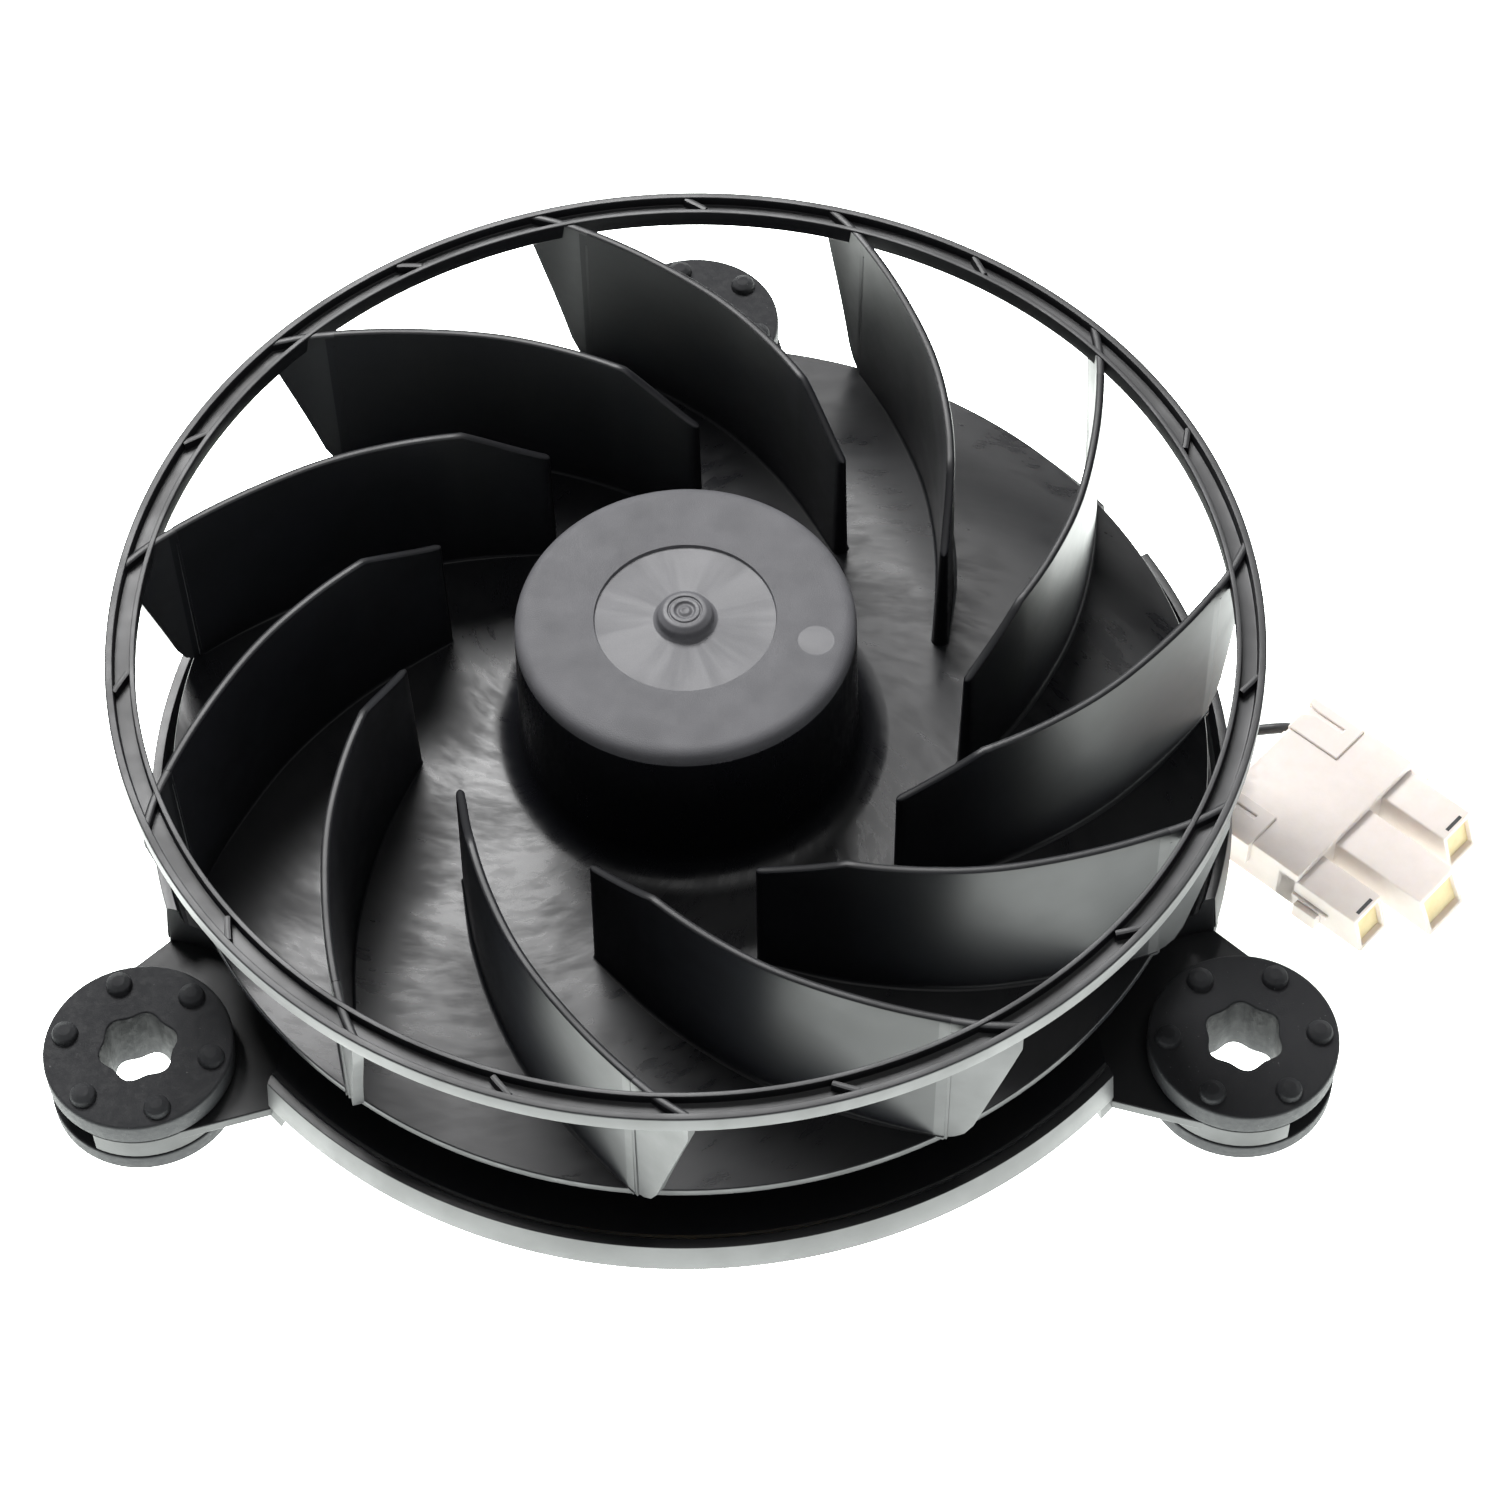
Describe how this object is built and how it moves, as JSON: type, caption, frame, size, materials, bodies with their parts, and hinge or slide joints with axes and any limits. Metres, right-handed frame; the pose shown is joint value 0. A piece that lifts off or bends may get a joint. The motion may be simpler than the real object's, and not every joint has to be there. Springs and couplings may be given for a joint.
{
  "type": "blower motor wheel",
  "caption": "Backward-curved fan impeller on an outer-rotor DC motor, in a shallow base with rubber grommets and a plug on short leads.",
  "frame": {"origin": "on the wheel's axis, level with the undersides of the three grommets that the fan stands on", "axes": "+Z along the wheel's axis, out of its open side; +X towards the plug; +Y towards the rear grommet"},
  "size_m": [0.1481, 0.1311, 0.0382],
  "materials": {
    "wheel_plastic": "black glass-filled plastic, satin",
    "frame_plastic": "black plastic, satin",
    "grommet_rubber": "matte",
    "steel": "zinc plated or ground",
    "lamination": "varnished stack",
    "ferrite": "matte grey-black",
    "brass": "turned",
    "bronze": "sintered, oil filled",
    "copper": "enamelled wire winding",
    "nylon": "ivory, satin",
    "insulator": "moulded, satin",
    "board": "green solder mask",
    "chip": "moulded package",
    "tin": "tin plated brass",
    "lead_black": "black insulation",
    "lead_red": "red insulation"
  },
  "bodies": {
    "stand": {"base_frame": "frame_plastic", "grommet_left": "grommet_rubber", "grommet_right": "grommet_rubber", "grommet_rear": "grommet_rubber", "bearing_tube": "brass", "thrust_cap": "nylon", "lower_bearing": "bronze", "upper_bearing": "bronze", "stator_core": "lamination", "insulator_upper": "insulator", "insulator_lower": "insulator", "coil_1": "copper", "coil_2": "copper", "coil_3": "copper", "coil_4": "copper", "motor_board": "board", "hall_sensor": "chip", "driver_chip": "chip", "connector_housing": "nylon", "contact_left": "tin", "contact_right": "tin", "lead_black": "lead_black", "lead_black_held": "lead_black", "lead_red": "lead_red", "lead_red_held": "lead_red"},
    "rotor": {"impeller": "wheel_plastic", "rotor_cup": "steel", "rotor_magnet": "ferrite", "shaft_bushing": "brass", "shaft": "steel", "retaining_clip": "steel"}
  },
  "joints": [
    {"name": "wheel_spin", "type": "hinge", "parent": "stand", "child": "rotor", "pos_m": [0, 0, 0.02], "axis": [0, 0, 1], "continuous": true}
  ]
}
